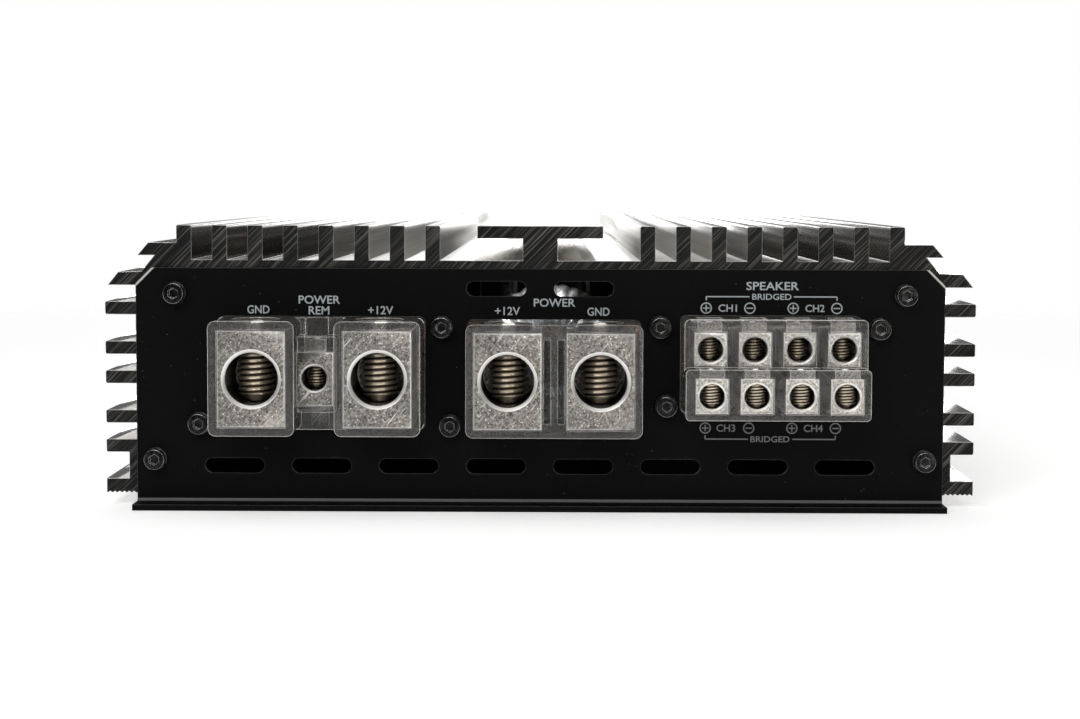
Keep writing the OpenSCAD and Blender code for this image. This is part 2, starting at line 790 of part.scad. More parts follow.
// A slide lever, 3 mm wide, that travels along X
module slide_lever(x, z) {
    color("white") block([x - 1.5, behind(-5), z - 1.2], [x + 1.5, behind(2), z + 1.2]);
}

module crossover_switch_a() { slide_lever(switch_x, row_z[0]); }
module crossover_switch_b() { slide_lever(switch_x, row_z[1]); }
module input_mode_switch() { slide_lever(mode_x - 2, row_z[0]); }

module switch_body(x, z) {
    difference() {
        block([x - 6.5, behind(input_board_e), z - 3.5], [x + 6.5, behind(-sheet_t), z + 3.5]);
        block([x - 4, behind(-5.2), z - 1.3], [x + 4, behind(0), z + 1.3]);
    }
}

module switch_bodies() {
    color("silver") {
        for (z = row_z) switch_body(switch_x, z);
        switch_body(mode_x, row_z[0]);
    }
}

module indicator_leds() {
    for (i = [0, 1]) color(i == 0 ? "lime" : "red") {
        rod_y(led_x, led_z[i], behind(input_board_e), behind(0), 1.5);
        intersection() {
            translate([led_x, behind(0), led_z[i]]) sphere(r = 1.5);
            block([led_x - 3, behind(-0.01), led_z[i] - 3], [led_x + 3, behind(3), led_z[i] + 3]);
        }
    }
}

module level_remote_jack() {
    color("black") difference() {
        block([mode_x - 6.8, behind(input_board_e), row_z[1] - 5.8],
              [mode_x + 6.8, behind(0.5), row_z[1] + 5.8]);
        block([mode_x - 5.2, behind(-7.1), row_z[1] - 3.8], [mode_x + 5.2, behind(1), row_z[1] + 3.4]);
        block([mode_x - 2, behind(-7.1), row_z[1] - 4.8], [mode_x + 2, behind(1), row_z[1] - 3.7]);
    }
}

// ---------- drawing ----------

heatsink();
bottom_cover();
power_end_panel();
input_end_panel();
panel_screws();
terminal_screws();
lock_washers();
bottom_cover_screws();
inner_screws();
power_housing_a();
power_housing_b();
speaker_housing();
ground_terminal_a();
battery_terminal_a();
battery_terminal_b();
ground_terminal_b();
remote_terminal();
speaker_terminals_upper();
speaker_terminals_lower();
ground_set_screw_a();
battery_set_screw_a();
battery_set_screw_b();
ground_set_screw_b();
remote_set_screw();
for (n = [0 : 7]) speaker_set_screw(n);
main_board();
input_board();
board_link();
supply_choke();
power_transformers();
reservoir_capacitors();
filter_capacitors();
output_inductors();
power_transistors();
insulator_strips();
clamp_bars();
driver_cards();
rca_bodies();
rca_shells();
rca_inserts();
gain_knob_a();
highpass_knob_a();
lowpass_knob_a();
gain_knob_b();
highpass_knob_b();
lowpass_knob_b();
potentiometers();
crossover_switch_a();
crossover_switch_b();
input_mode_switch();
switch_bodies();
indicator_leds();
level_remote_jack();
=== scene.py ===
"""Looks of a four-channel car amplifier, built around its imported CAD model.

Lengths are in metres; MM turns millimetres into them. The power end faces -Y.
"""
import math

import bmesh
import bpy
from mathutils import Euler, Matrix, Vector


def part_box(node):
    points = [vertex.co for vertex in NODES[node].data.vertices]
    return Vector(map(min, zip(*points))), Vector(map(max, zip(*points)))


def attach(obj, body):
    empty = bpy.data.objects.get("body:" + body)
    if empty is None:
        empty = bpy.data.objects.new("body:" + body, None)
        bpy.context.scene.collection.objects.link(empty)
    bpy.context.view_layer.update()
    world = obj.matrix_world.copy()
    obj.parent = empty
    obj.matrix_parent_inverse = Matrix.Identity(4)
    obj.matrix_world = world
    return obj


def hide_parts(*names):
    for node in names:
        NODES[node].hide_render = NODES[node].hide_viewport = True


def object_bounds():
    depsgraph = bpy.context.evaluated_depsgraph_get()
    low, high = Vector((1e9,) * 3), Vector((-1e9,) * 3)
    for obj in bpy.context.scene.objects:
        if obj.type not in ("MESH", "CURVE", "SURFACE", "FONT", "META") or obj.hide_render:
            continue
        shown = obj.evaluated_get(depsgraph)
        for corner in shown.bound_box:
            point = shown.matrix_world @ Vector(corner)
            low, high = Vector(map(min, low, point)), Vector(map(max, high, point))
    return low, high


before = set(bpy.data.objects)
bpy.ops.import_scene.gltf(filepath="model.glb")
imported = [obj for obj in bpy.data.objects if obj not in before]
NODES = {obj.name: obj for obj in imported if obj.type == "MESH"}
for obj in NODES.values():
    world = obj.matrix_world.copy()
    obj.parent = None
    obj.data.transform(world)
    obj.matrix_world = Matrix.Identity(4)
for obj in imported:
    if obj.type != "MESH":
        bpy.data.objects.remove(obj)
CAD_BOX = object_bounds()
SCENE = bpy.context.scene
MM = 0.001

FOOT_REACH = 7.8 * MM
FRONT_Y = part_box("power_end_panel")[0].y + FOOT_REACH
REAR_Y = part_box("input_end_panel")[1].y - FOOT_REACH
MID_Y = (FRONT_Y + REAR_Y) / 2


# ---------- camera, light and floor ----------


def add_camera():
    """A camera close before the power end, a little above the top fins."""
    distance, height, aside = 562 * MM, 86.8 * MM, 2.7 * MM
    pitch, yaw, roll = math.radians(3.85), math.radians(0.275), math.radians(0.19)
    camera = bpy.data.objects.new("camera", bpy.data.cameras.new("camera"))
    SCENE.collection.objects.link(camera)
    camera.data.sensor_width = 36
    camera.data.lens = 69.4
    camera.data.shift_y = -0.029
    look = Euler((math.pi / 2 - pitch, 0, yaw)).to_matrix().to_4x4()
    place = Matrix.Translation((aside, FRONT_Y - distance, height))
    camera.matrix_world = place @ look @ Matrix.Rotation(roll, 4, "Z")
    SCENE.camera = camera


def add_softbox(name, place, target, size, watts, tint=(1, 1, 1)):
    """A rectangular light at place, turned to target."""
    data = bpy.data.lights.new(name, "AREA")
    data.shape = "RECTANGLE"
    data.size, data.size_y = size
    data.energy = watts
    data.color = tint
    light = bpy.data.objects.new(name, data)
    light.location = place
    light.rotation_euler = (Vector(target) - Vector(place)).to_track_quat("-Z", "Y").to_euler()
    SCENE.collection.objects.link(light)


def add_slot_lamp():
    """A small spot inside the case, which shows what lies behind the upper cooling slots."""
    lamp = bpy.data.objects.new("slot_lamp", bpy.data.lights.new("slot_lamp", "SPOT"))
    lamp.data.energy = 0.05
    lamp.data.spot_size = math.radians(75)
    lamp.data.spot_blend = 0.6
    lamp.data.shadow_soft_size = 2 * MM
    lamp.location = (-8 * MM, FRONT_Y + 6 * MM, 59 * MM)
    lamp.rotation_euler = Vector((8, 30, -4)).to_track_quat("-Z", "Y").to_euler()
    SCENE.collection.objects.link(lamp)


def add_room():
    """A pale floor that fades out, in a white room that only the camera sees."""
    world = bpy.data.worlds.new("room")
    world.use_nodes = True
    world.node_tree.nodes["Background"].inputs["Color"].default_value = (0.13, 0.13, 0.13, 1)
    SCENE.world = world
    SCENE.view_settings.view_transform = "Standard"

    floor = new_object("floor", *square_plane(8, -0.1 * MM))
    paint = Paint("floor_paint", Roughness=0.9)
    tone = paint.noise(3, detail=1)
    paint.colour(paint.blend(tone, (0.88, 0.88, 0.88), (0.92, 0.92, 0.92)))
    away = paint.add("ShaderNodeVectorMath", {0: paint.place}, operation="LENGTH").outputs["Value"]
    paint.alpha(paint.span(away, 0.40, 0.85, 1.0, 0.0))
    paint.shader.inputs["Emission Color"].default_value = (1, 1, 1, 1)
    paint.shader.inputs["Emission Strength"].default_value = 0.42
    paint.put_on(floor)

    bpy.ops.mesh.primitive_ico_sphere_add(subdivisions=4, radius=9)
    room = bpy.context.object
    room.name = "room_wall"
    wall = bpy.data.materials.new("room_wall")
    wall.use_nodes = True
    nodes = wall.node_tree.nodes
    glow = nodes.new("ShaderNodeEmission")
    glow.inputs["Color"].default_value = (1, 1, 1, 1)
    wall.node_tree.links.new(glow.outputs[0], nodes["Material Output"].inputs["Surface"])
    room.data.materials.append(wall)
    for ray in ("diffuse", "glossy", "shadow", "volume_scatter"):
        setattr(room, "visible_" + ray, False)


def add_lights():
    """Softboxes over, before and behind the object, and the lamp inside it."""
    warm = (1, 0.94, 0.86)
    add_softbox("overhead_box", (0, 0.1, 1.3), (0, 0, 0), (1.6, 1.6), 8)
    add_softbox("front_box", (-0.35, -1.3, 0.75), (0, FRONT_Y, 0.03), (0.9, 0.5), 9)
    add_softbox("low_front_box", (0.32, -1.1, 0.17), (0, FRONT_Y, 0.035), (0.45, 0.22), 1.4, warm)
    add_softbox("low_back_box", (0, 2.0, 0.20), (0, 0.2, 0.05), (2.4, 0.26), 9)
    add_slot_lamp()
    add_softbox("back_box", (0, 1.9, 0.75), (0, 0.3, 0.06), (0.5, 1.3), 3)


# ---------- mesh helpers ----------


def new_object(name, points, faces):
    """A mesh object from points and faces, linked to the scene."""
    mesh = bpy.data.meshes.new(name)
    mesh.from_pydata([tuple(p) for p in points], [], faces)
    mesh.update()
    piece = bpy.data.objects.new(name, mesh)
    SCENE.collection.objects.link(piece)
    return piece


def square_plane(half, z):
    """The corners and the one face of a level square."""
    corners = [(-half, -half, z), (half, -half, z), (half, half, z), (-half, half, z)]
    return corners, [(0, 1, 2, 3)]


def smooth(piece, degrees=35):
    """Shades a piece smooth, apart from edges sharper than the given angle."""
    bm = bmesh.new()
    bm.from_mesh(piece.data)
    bmesh.ops.recalc_face_normals(bm, faces=bm.faces)
    for face in bm.faces:
        face.smooth = True
    for edge in bm.edges:
        edge.smooth = len(edge.link_faces) == 2 and edge.calc_face_angle() < math.radians(degrees)
    bm.to_mesh(piece.data)
    bm.free()


def ring_mesh(name, rings, place):
    """Skins rings of points with equal counts and closes both ends. Points go through place."""
    count = len(rings[0])
    points = [place(p) for ring in rings for p in ring]
    faces = []
    for i in range(len(rings) - 1):
        a, b = i * count, (i + 1) * count
        faces += [(a + j, a + (j + 1) % count, b + (j + 1) % count, b + j) for j in range(count)]
    faces.append(tuple(reversed(range(count))))
    faces.append(tuple(range(len(points) - count, len(points))))
    piece = new_object(name, points, faces)
    smooth(piece)
    return piece


def circle_ring(radius, z, count, shape=None):
    """One ring at height z. shape(angle) scales the radius where the ring isn't round."""
    ring = []
    for j in range(count):
        angle = 2 * math.pi * j / count
        r = radius * (shape(angle) if shape else 1)
        ring.append(Vector((r * math.cos(angle), r * math.sin(angle), z)))
    return ring


def hexagon(angle):
    """A hexagon's radius at an angle, as a share of the radius of the circle inside it."""
    return 1 / math.cos((angle % (math.pi / 3)) - math.pi / 6)


def facing_front(x, z):
    """Puts local points (right, up, out) on the power end panel at x, z."""
    return lambda p: Vector((x + p[0], FRONT_Y - p[2], z + p[1]))


def facing_back(x, z):
    """The same for the input end panel, where right is -X."""
    return lambda p: Vector((x - p[0], REAR_Y + p[2], z + p[1]))


# ---------- materials ----------


class Paint:
    """A material with a Principled shader and a few helpers that add nodes to it."""

    def __init__(self, name, **values):
        self.material = bpy.data.materials.new(name)
        self.material.use_nodes = True
        self.tree = self.material.node_tree
        self.shader = self.tree.nodes["Principled BSDF"]
        for key, value in values.items():
            self.shader.inputs[key.replace("_", " ")].default_value = value
        self.place = self.add("ShaderNodeTexCoord").outputs["Object"]
        self.heights = []

    def add(self, kind, inputs=None, **settings):
        """Adds a node. inputs holds values or sockets, and settings the node's own properties."""
        node = self.tree.nodes.new(kind)
        for key, value in settings.items():
            setattr(node, key, value)
        for key, value in (inputs or {}).items():
            if isinstance(value, bpy.types.NodeSocket):
                self.tree.links.new(value, node.inputs[key])
            else:
                node.inputs[key].default_value = value
        return node

    def maths(self, operation, a, b=0.0):
        return self.add("ShaderNodeMath", {0: a, 1: b}, operation=operation).outputs[0]

    def moved(self, stretch=(1, 1, 1), turn=(0, 0, 0)):
        """The place in the object, turned and then stretched."""
        turned = self.add("ShaderNodeMapping", {"Vector": self.place, "Rotation": turn}).outputs[0]
        return self.add("ShaderNodeMapping", {"Vector": turned, "Scale": stretch}).outputs[0]

    def noise(self, scale, stretch=(1, 1, 1), turn=(0, 0, 0), detail=2.0, rough=0.5):
        values = {"Vector": self.moved(stretch, turn), "Scale": scale, "Detail": detail, "Roughness": rough}
        return self.add("ShaderNodeTexNoise", values).outputs["Fac"]

    def cells(self, scale):
        """The distance to the nearest of many scattered points."""
        return self.add("ShaderNodeTexVoronoi", {"Vector": self.moved(), "Scale": scale}).outputs["Distance"]

    def span(self, value, low, high, to_low=0.0, to_high=1.0):
        """Maps low to to_low and high to to_high, and holds the ends."""
        values = {0: value, 1: low, 2: high, 3: to_low, 4: to_high}
        return self.add("ShaderNodeMapRange", values).outputs[0]

    def blend(self, factor, a, b):
        """Mixes two colours, each a triple or a socket."""
        node = self.add("ShaderNodeMix", {"Factor": factor}, data_type="RGBA")
        for socket, value in ((node.inputs[6], a), (node.inputs[7], b)):
            if isinstance(value, bpy.types.NodeSocket):
                self.tree.links.new(value, socket)
            else:
                socket.default_value = (*value, 1)
        return node.outputs[2]

    def axis(self, source, letter):
        """One part of the object place or of the face's own normal."""
        vector = self.place if source == "place" else self.add("ShaderNodeNewGeometry").outputs["True Normal"]
        return self.add("ShaderNodeSeparateXYZ", {0: vector}).outputs[letter]

    def edges(self):
        """1 on the narrow bevelled edges, whose normals lie between the axes, and 0 elsewhere."""
        parts = [self.maths("ABSOLUTE", self.axis("normal", letter)) for letter in "XYZ"]
        largest = self.maths("MAXIMUM", self.maths("MAXIMUM", parts[0], parts[1]), parts[2])
        return self.span(largest, 0.93, 0.98, 1.0, 0.0)

    def rims(self, reach):
        """1 within reach millimetres of a sharp edge and 0 elsewhere."""
        rounded = self.add("ShaderNodeBevel", {"Radius": reach * MM}, samples=6).outputs[0]
        flat = self.add("ShaderNodeNewGeometry").outputs["True Normal"]
        alike = self.add("ShaderNodeVectorMath", {0: rounded, 1: flat}, operation="DOT_PRODUCT")
        return self.span(alike.outputs["Value"], 0.80, 0.97, 1.0, 0.0)

    def colour(self, socket):
        self.tree.links.new(socket, self.shader.inputs["Base Color"])

    def roughness(self, socket):
        self.tree.links.new(socket, self.shader.inputs["Roughness"])

    def alpha(self, socket):
        self.tree.links.new(socket, self.shader.inputs["Alpha"])

    def metallic(self, socket):
        self.tree.links.new(socket, self.shader.inputs["Metallic"])

    def bump(self, height, depth):
        """Adds relief; depth is the height of the relief in metres."""
        values = {"Height": height, "Distance": depth, "Strength": 1.0}
        if self.heights:
            values["Normal"] = self.heights[-1]
        self.heights.append(self.add("ShaderNodeBump", values).outputs[0])
        self.tree.links.new(self.heights[-1], self.shader.inputs["Normal"])

    def put_on(self, *pieces):
        for piece in pieces:
            piece.data.materials.clear()
            piece.data.materials.append(self.material)


def masked(paint, distance, rise, fall):
    """1 between rise and fall, two (start, end) slopes of distance, and 0 outside them."""
    return paint.maths("MULTIPLY", paint.span(distance, *rise), paint.span(distance, *fall, 1.0, 0.0))


def extrusion_paint():
    """Bare aluminium, streaked along its length, with painted shade on the outer channels below the fin tips,
    and coated sawn ends.
    """
    paint = Paint("extrusion_paint", Specular_IOR_Level=0.15)
    tips = CAD_BOX[1].z
    lines = paint.noise(1, stretch=(1500, 5, 1500), detail=3)
    broad = paint.noise(1, stretch=(520, 2.5, 520), detail=2)
    across = paint.maths("ABSOLUTE", paint.axis("place", "X"))
    below = paint.span(paint.axis("place", "Z"), tips - 1.0 * MM, tips - 0.5 * MM, 1.0, 0.0)
    channels = masked(paint, across, (40 * MM, 66 * MM), (99 * MM, 101 * MM))
    middle = masked(paint, across, (22 * MM, 26 * MM), (44 * MM, 66 * MM))

    silver = paint.blend(paint.span(lines, 0.3, 0.7), (0.78, 0.765, 0.74), (0.90, 0.89, 0.87))
    streaked = paint.blend(paint.span(broad, 0.40, 0.62, 0, 0.5), silver, (0.62, 0.605, 0.58))
    # Painted shade: below the fin tips, the outer channels get a darker, streaked colour.
    channel_wall_shade = paint.blend(paint.span(broad, 0.36, 0.62), (0.58, 0.56, 0.54), (0.30, 0.29, 0.275))
    bare = paint.blend(paint.maths("MULTIPLY", below, channels), streaked, channel_wall_shade)

    slant = (0, -math.radians(45), 0)
    saw = paint.noise(1, stretch=(2500, 300, 36), turn=slant, detail=3, rough=0.6)
    coarse = paint.noise(1, stretch=(1000, 100, 40), turn=slant, detail=2)
    scratches = paint.maths("MULTIPLY", paint.span(saw, 0.50, 0.66),
                            paint.span(coarse, 0.34, 0.56, 0.25, 1.0))
    black = paint.blend(scratches, (0.005, 0.005, 0.005), (0.10, 0.097, 0.09))
    facing = paint.span(paint.maths("ABSOLUTE", paint.axis("normal", "Y")), 0.90, 0.97)
    from_middle = paint.maths("ABSOLUTE", paint.maths("SUBTRACT", paint.axis("place", "Y"), MID_Y))
    sawn = paint.maths("MULTIPLY", facing, paint.span(from_middle, 210 * MM, 211 * MM))
    paint.colour(paint.blend(sawn, bare, black))
    paint.metallic(paint.span(sawn, 0, 1, 1.0, 0.2))

    on_middle = paint.maths("MULTIPLY", paint.maths("MULTIPLY", below, middle), 0.18)
    satin = paint.maths("ADD", on_middle, paint.span(below, 0, 1, 0.10, 0.0))
    bare_rough = paint.maths("ADD", paint.span(broad, 0.3, 0.7, 0.13, 0.22), satin)
    sawn_rough = paint.span(scratches, 0, 1, 0.50, 0.34)
    mixed = paint.add("ShaderNodeMix", {"Factor": sawn, 2: bare_rough, 3: sawn_rough}).outputs[0]
    paint.roughness(mixed)
    paint.bump(paint.maths("MULTIPLY", lines, paint.span(sawn, 0, 1, 1, 0)), 0.003 * MM)
    paint.bump(paint.maths("MULTIPLY", saw, sawn), 0.06 * MM)
    return paint


def powder_coat(name, tone=0.0018, edge_wear_and_highlight=0.12, level=0.045):
    """Black powder coat: fine orange peel, a few dust specks, edges paler from rubbing and a painted
    highlight, and a painted highlight along the cut corners.
    """
    paint = Paint(name, Specular_IOR_Level=level)
    cut_corner = 170.1 * MM  # X + Z along the panels' cut corners
    peel = paint.noise(1400, detail=2)
    grain = paint.noise(5200, detail=2)
    specks = paint.span(paint.cells(420), 0.05, 0.09, 1.0, 0.0)
    patchy = paint.maths("MULTIPLY", specks, paint.span(paint.noise(60), 0.52, 0.7))
    base = paint.blend(paint.span(grain, 0.35, 0.7), (tone, tone, tone * 1.05), (tone * 2.2,) * 3)
    base = paint.blend(patchy, base, (0.09, 0.09, 0.09))
    # Edges and rims: paler from rubbing, with a painted highlight.
    base = paint.blend(paint.maths("MAXIMUM", paint.edges(), paint.rims(0.2)), base, (edge_wear_and_highlight, edge_wear_and_highlight, edge_wear_and_highlight))
    # Painted highlight: a pale line along the cut corners.
    reach = paint.maths("ADD", paint.maths("ABSOLUTE", paint.axis("place", "X")), paint.axis("place", "Z"))
    bare = paint.span(reach, cut_corner - 0.9 * MM, cut_corner - 0.5 * MM)
    paint.colour(paint.blend(bare, base, (0.5, 0.48, 0.45)))
    paint.roughness(paint.span(peel, 0.3, 0.7, 0.40, 0.54))
    paint.bump(peel, 0.02 * MM)
    paint.bump(grain, 0.008 * MM)
    return paint


def nickel_paint(name, face, dark=(0.045, 0.042, 0.038), light=(0.43, 0.413, 0.385)):
    """Tumbled nickel plate: a speckled satin face, bright edges from rubbing with a painted highlight, long
    scratches and painted shade on the edges in the bores.

    face is how far the blocks' fronts stand ahead of the power end panel, in millimetres.
    """
    paint = Paint(name, Metallic=1.0)
    nickel_wear_and_highlight = (0.95, 0.94, 0.91)
    grain = paint.noise(1500, detail=6, rough=0.82)
    sparks = paint.span(paint.cells(1000), 0.14, 0.24, 1.0, 0.0)
    cloud = paint.noise(260, detail=3)
    scratch = paint.noise(1, stretch=(2400, 300, 110), turn=(0, math.radians(-38), 0), detail=2)
    speckle = paint.span(grain, 0.40, 0.62)
    glints = paint.maths("MULTIPLY", sparks, paint.span(cloud, 0.34, 0.56))
    base = paint.blend(speckle, dark, light)
    base = paint.blend(glints, base, (0.93, 0.90, 0.86))
    base = paint.blend(paint.span(cloud, 0.40, 0.66, 0, 0.4), base, (0.22, 0.21, 0.19))
    base = paint.blend(paint.span(scratch, 0.64, 0.72, 0, 0.8), base, (0.88, 0.86, 0.82))
    start = FRONT_Y - face * MM
    # Painted shade: edges more than a millimetre behind the block fronts, as in the bores, are dark.
    inside = paint.span(paint.axis("place", "Y"), start + 0.9 * MM, start + 1.1 * MM)
    edge = paint.edges()
    patches = paint.span(paint.noise(700, detail=3), 0.36, 0.52, 0.45, 1.0)
    # Edges and rims: bright from rubbing, with a painted highlight.
    base = paint.blend(paint.maths("MULTIPLY", paint.rims(0.65), patches), base, nickel_wear_and_highlight)
    base = paint.blend(edge, base, paint.blend(inside, nickel_wear_and_highlight, (0.05, 0.045, 0.04)))
    paint.colour(base)
    paint.roughness(paint.span(speckle, 0, 1, 0.55, 0.36))
    paint.bump(paint.maths("MULTIPLY", grain, paint.span(edge, 0, 1, 1.0, 0.15)), 0.05 * MM)
    return paint


def metal_paint(name, dark, light, rough=(0.25, 0.42), scale=900, edge=None):
    """A plain metal with fine grain and, where edge gives a colour, a painted highlight on its edges."""
    paint = Paint(name, Metallic=1.0)
    grain = paint.noise(scale, detail=3)
    cloud = paint.noise(scale / 9, detail=2)
    base = paint.blend(paint.span(grain, 0.35, 0.65), dark, light)
    base = paint.blend(paint.span(cloud, 0.4, 0.7, 0, 0.4), base, dark)
    # Painted highlight on the edges, where edge gives its colour.
    if edge:
        base = paint.blend(paint.span(paint.edges(), 0, 1, 0, 0.7), base, edge)
    paint.colour(base)
    paint.roughness(paint.span(grain, 0.3, 0.7, *rough))
    paint.bump(grain, 0.01 * MM)
    return paint


def screw_paint():
    """Bright thread crests over thread roots darkened with painted shade."""
    paint = Paint("set_screw_paint", Metallic=1.0)
    groove = paint.add("ShaderNodeAttribute", attribute_name="groove").outputs["Fac"]
    grain = paint.noise(900, detail=2)
    crest = paint.blend(paint.span(grain, 0.35, 0.65), (0.80, 0.72, 0.61), (0.97, 0.90, 0.79))
    # Painted shade: the thread roots are dark.
    paint.colour(paint.blend(paint.span(groove, 0.34, 0.78), crest, (0.06, 0.048, 0.036)))
    paint.roughness(paint.span(groove, 0.1, 0.7, 0.28, 0.5))
    return paint


def plastic_paint(name, tone, rough=(0.38, 0.52), depth=0.012, scale=2200, shift=0.75):
    """Moulded plastic with a fine spark-eroded grain. Its darker patches are shift times its tone."""
    paint = Paint(name)
    grain = paint.noise(scale, detail=2)
    cloud = paint.noise(90, detail=2)
    darker = tuple(c * shift for c in tone)
    base = paint.blend(paint.span(grain, 0.35, 0.65), darker, tone)
    paint.colour(paint.blend(paint.span(cloud, 0.4, 0.7, 0, 0.3), base, darker))
    paint.roughness(paint.span(grain, 0.3, 0.7, *rough))
    paint.bump(grain, depth * MM)
    return paint


def clear_paint():
    """Clear moulded plastic: smoky walls with faint flow lines and a painted highlight on its rounded edges.
    """
    paint = Paint("clear_paint", Specular_IOR_Level=0.7)
    flow = paint.noise(1, stretch=(140, 40, 300), detail=2)
    fine = paint.noise(1800, detail=3)
    edge = paint.rims(0.34)
    smoke = paint.blend(paint.span(fine, 0.35, 0.65), (0.10, 0.097, 0.093), (0.20, 0.194, 0.186))
    # Painted highlight: the rounded edges are pale and nearly opaque.
    paint.colour(paint.blend(edge, smoke, (0.96, 0.94, 0.91)))
    haze = paint.maths("ADD", paint.span(flow, 0.3, 0.7, 0.20, 0.34), paint.span(fine, 0.3, 0.7, 0.0, 0.10))
    paint.alpha(paint.maths("MAXIMUM", haze, paint.span(edge, 0, 1, 0.0, 0.95)))
    paint.roughness(paint.span(flow, 0.3, 0.7, 0.10, 0.20))
    paint.bump(fine, 0.010 * MM)
    return paint


def board_paint():
    """Solder mask over copper traces, with tinned pads."""
    paint = Paint("board_paint")
    traces = paint.add(
        "ShaderNodeTexBrick",
        {"Vector": paint.moved(), "Scale": 260.0, "Mortar Size": 0.09, "Color1": (0, 0, 0, 1),
         "Color2": (0, 0, 0, 1), "Mortar": (1, 1, 1, 1)},
    ).outputs["Fac"]
    pads = paint.span(paint.cells(330), 0.10, 0.13, 1.0, 0.0)
    mask = paint.blend(traces, (0.012, 0.075, 0.03), (0.03, 0.14, 0.06))
    paint.colour(paint.blend(pads, mask, (0.62, 0.60, 0.55)))
    paint.metallic(pads)
    paint.roughness(paint.span(paint.noise(700), 0.3, 0.7, 0.25, 0.4))
    paint.bump(paint.maths("ADD", traces, pads), 0.03 * MM)
    return paint


def winding_paint(name, dark, light):
    """Lacquered or tinned wire."""
    paint = Paint(name, Metallic=0.85, Coat_Weight=0.4)
    tone = paint.noise(500, detail=3)
    paint.colour(paint.blend(paint.span(tone, 0.3, 0.7), dark, light))
    paint.roughness(paint.span(tone, 0.3, 0.7, 0.22, 0.38))
    paint.bump(tone, 0.01 * MM)
    return paint


def sleeve_paint(name, tone, stripe):
    """A capacitor's shrink sleeve, with its stripe down one side and bare metal on top."""
    paint = Paint(name, Coat_Weight=0.3)
    bands = paint.maths("SINE", paint.maths("MULTIPLY", paint.axis("place", "X"), 480.0))
    front = paint.span(paint.axis("normal", "Y"), -0.4, -0.5)
    side = paint.maths("MULTIPLY", paint.span(bands, 0.93, 0.95), front)
    top = paint.span(paint.axis("normal", "Z"), 0.9, 0.95)
    base = paint.blend(side, tone, stripe)
    paint.colour(paint.blend(top, base, (0.70, 0.70, 0.71)))
    paint.metallic(top)
    paint.roughness(paint.span(paint.noise(900), 0.3, 0.7, 0.24, 0.38))
    paint.bump(paint.noise(1200), 0.01 * MM)
    return paint


def insert_paint():
    """The jacks' insulators: white in the upper row and red in the lower row."""
    paint = Paint("insert_paint")
    grain = paint.noise(2000)
    row = paint.span(paint.axis("place", "Z"), 36 * MM, 37 * MM)
    red = paint.blend(grain, (0.42, 0.012, 0.012), (0.55, 0.02, 0.018))
    white = paint.blend(grain, (0.70, 0.69, 0.66), (0.80, 0.79, 0.77))
    paint.colour(paint.blend(row, red, white))
    paint.roughness(paint.span(grain, 0.3, 0.7, 0.3, 0.42))
    paint.bump(grain, 0.01 * MM)
    return paint


def lamp_paint():
    """Diffused indicator lenses: green above, red below."""
    paint = Paint("lamp_paint", Subsurface_Weight=0.2, Subsurface_Scale=1 * MM)
    grain = paint.noise(1500)
    upper = paint.span(paint.axis("place", "Z"), 43 * MM, 44 * MM)
    red = paint.blend(grain, (0.40, 0.01, 0.01), (0.5, 0.02, 0.02))
    green = paint.blend(grain, (0.05, 0.38, 0.09), (0.07, 0.5, 0.12))
    paint.colour(paint.blend(upper, red, green))
    paint.roughness(paint.span(grain, 0.3, 0.7, 0.18, 0.28))
    return paint


# ---------- the CAD nodes' looks ----------


def soften(node, width):
    """Rounds a CAD node's edges by width millimetres. The flat sheet panels keep flat shading."""
    piece = NODES[node]
    sheet = node.endswith("end_panel")
    piece.data.polygons.foreach_set("use_smooth", [not sheet] * len(piece.data.polygons))
    weld = piece.modifiers.new("weld", "WELD")
    weld.merge_threshold = 0.002 * MM
    flat = piece.modifiers.new("flat", "DECIMATE")
    flat.decimate_type = "DISSOLVE"
    flat.angle_limit = math.radians(0.5)
    bevel = piece.modifiers.new("bevel", "BEVEL")
    bevel.width = width * MM
    bevel.segments = 2
    bevel.limit_method = "ANGLE"
    bevel.angle_limit = math.radians(30)
    bevel.use_clamp_overlap = node != "heatsink"
    bevel.harden_normals = not sheet


